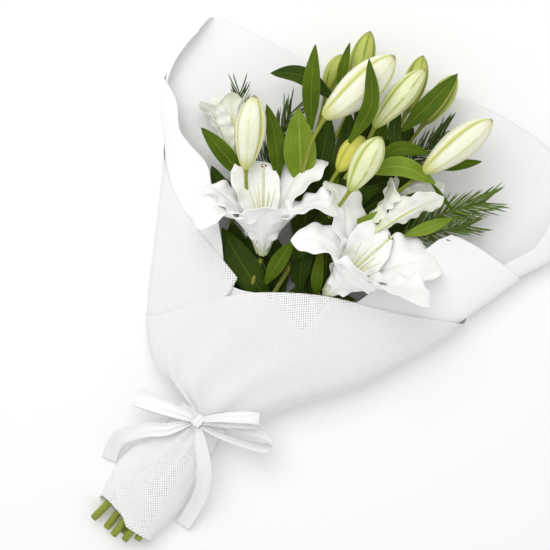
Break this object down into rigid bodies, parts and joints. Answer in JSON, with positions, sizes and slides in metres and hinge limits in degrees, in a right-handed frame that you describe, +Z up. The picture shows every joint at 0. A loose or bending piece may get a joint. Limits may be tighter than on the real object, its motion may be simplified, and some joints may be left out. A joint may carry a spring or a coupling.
{
  "type": "wrapped bouquet of white lilies",
  "caption": "Hand-tied bunch of white lilies, buds and greenery in a smooth paper and open-weave burlap wrap with a satin bow, lying flat",
  "frame": {"origin": "on the flat underside of the burlap wrap, in the surface that the bunch rests on, near the middle of the bunch", "axes": "+Y from the cut stem ends to the flower heads, +X to the bunch's right seen from above with the flowers away, +Z up, square to the resting surface"},
  "size_m": [0.4781, 0.642, 0.1341],
  "materials": {
    "burlap": "matte",
    "paper": "matte",
    "ribbon": "satin",
    "stem": "satin",
    "twine": "matte",
    "tepal": "satin",
    "pistil": "satin",
    "bud_cream": "satin",
    "bud_green": "satin",
    "leaf": "satin",
    "needle": "matte"
  },
  "bodies": {
    "root": {"burlap_wrap": "burlap", "inner_paper_sheet": "paper", "back_paper_sheet": "paper", "ribbon_band": "ribbon", "ribbon_knot": "ribbon", "ribbon_loop_left": "ribbon", "ribbon_loop_upper_right": "ribbon", "ribbon_loop_lower_right": "ribbon", "ribbon_tail_left": "ribbon", "ribbon_tail_right": "ribbon", "lily_stem_1": "stem", "lily_stem_2": "stem", "lily_stem_3": "stem", "lily_stem_4": "stem", "lily_stem_5": "stem", "lily_stem_6": "stem", "stem_tie": "twine", "flower_a_tepal_1": "tepal", "flower_a_tepal_2": "tepal", "flower_a_tepal_3": "tepal", "flower_a_tepal_4": "tepal", "flower_a_tepal_5": "tepal", "flower_a_tepal_6": "tepal", "flower_a_pistil": "pistil", "flower_b_tepal_1": "tepal", "flower_b_tepal_2": "tepal", "flower_b_tepal_3": "tepal", "flower_b_tepal_4": "tepal", "flower_b_tepal_5": "tepal", "flower_b_tepal_6": "tepal", "flower_b_pistil": "pistil", "flower_c_tepal_1": "tepal", "flower_c_tepal_2": "tepal", "flower_c_tepal_3": "tepal", "flower_c_tepal_4": "tepal", "half_open_lily": "tepal", "bud_left": "bud_cream", "bud_wide": "bud_cream", "bud_top_1": "bud_green", "bud_top_2": "bud_green", "bud_green": "bud_green", "bud_top_3": "bud_green", "bud_top_4": "bud_green", "bud_yellow": "bud_green", "bud_middle": "bud_cream", "bud_right": "bud_cream", "leaf_1": "leaf", "leaf_2": "leaf", "leaf_3": "leaf", "leaf_4": "leaf", "leaf_5": "leaf", "leaf_6": "leaf", "leaf_7": "leaf", "leaf_8": "leaf", "leaf_9": "leaf", "needle_sprig_left": "needle", "needle_sprig_top": "needle", "needle_sprig_right": "needle"}
  },
  "joints": []
}
